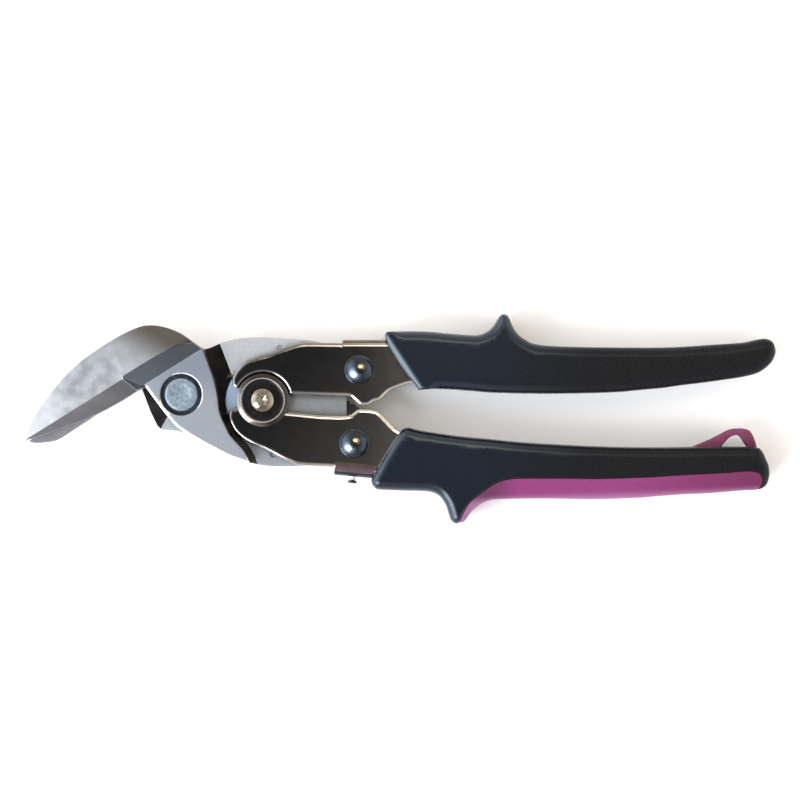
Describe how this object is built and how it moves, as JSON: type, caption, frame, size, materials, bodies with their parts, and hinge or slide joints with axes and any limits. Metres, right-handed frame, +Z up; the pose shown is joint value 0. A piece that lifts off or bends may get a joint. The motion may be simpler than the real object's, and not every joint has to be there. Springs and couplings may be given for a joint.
{
  "type": "aviation snips",
  "caption": "Offset compound-lever sheet metal snips lying flat, nearly closed, with black and magenta grips and a finger-loop latch at the end of the lower grip.",
  "frame": {"origin": "centre of the overall box in plan, on the table under the tool", "axes": "+X from the jaws to the grip ends, +Z up out of the front face, away from the table"},
  "size_m": [0.26, 0.0726, 0.0176],
  "materials": {
    "blade_steel": "blasted and ground tool steel",
    "bolt_steel": "turned face",
    "black_steel": "blackened",
    "nickel_plate": "bright nickel plate",
    "screw_plate": "warm plated screw",
    "rivet_steel": "polished dark rivet",
    "spring_steel": "drawn wire",
    "grip_black": "fine matte",
    "grip_magenta": "soft matte inlay",
    "latch_magenta": "smooth moulded"
  },
  "bodies": {
    "lower_handle": {"lower_lever": "nickel_plate", "lower_grip": "grip_black", "lower_grip_inlay": "grip_magenta", "lower_drive_rivet": "rivet_steel", "lower_rivet_washers": "rivet_steel", "hub_screw": "screw_plate", "hub_sleeve": "nickel_plate", "hub_washer_front": "black_steel", "hub_washer_back": "black_steel", "opening_spring": "spring_steel", "web_stud": "black_steel", "latch_pin": "spring_steel"},
    "upper_handle": {"upper_lever": "nickel_plate", "upper_grip": "grip_black", "upper_drive_rivet": "rivet_steel", "upper_rivet_washers": "rivet_steel"},
    "upper_blade_body": {"upper_blade": "blade_steel", "pivot_bolt": "bolt_steel", "pivot_washer": "black_steel", "pivot_nut": "nickel_plate"},
    "lower_blade_body": {"lower_blade": "blade_steel"},
    "latch_body": {"locking_latch": "latch_magenta"}
  },
  "joints": [
    {"name": "handle_pivot", "type": "hinge", "parent": "lower_handle", "child": "upper_handle", "pos_m": [-0.04757, 0.00644, 0.0088], "axis": [0, 0, 1], "range_deg": [-1.5, 38], "deforming": ["opening_spring"]},
    {"name": "lower_drive_pivot", "type": "hinge", "parent": "lower_handle", "child": "upper_blade_body", "pos_m": [-0.01578, -0.00864, 0.0088], "axis": [0, 0, 1], "range_deg": [-1, 10]},
    {"name": "blade_pivot", "type": "hinge", "parent": "upper_blade_body", "child": "lower_blade_body", "pos_m": [-0.0756, 0.0084, 0.0088], "axis": [0, 0, 1], "range_deg": [-1, 20]},
    {"name": "latch_pivot", "type": "hinge", "parent": "lower_handle", "child": "latch_body", "pos_m": [0.1215, -0.0126, 0.0088], "axis": [0, 0, -1], "range_deg": [0, 85]}
  ],
  "couplings": [
    {"joint": "lower_drive_pivot", "follows": "handle_pivot", "ratio": 0.2445},
    {"joint": "blade_pivot", "follows": "handle_pivot", "ratio": 0.511}
  ]
}
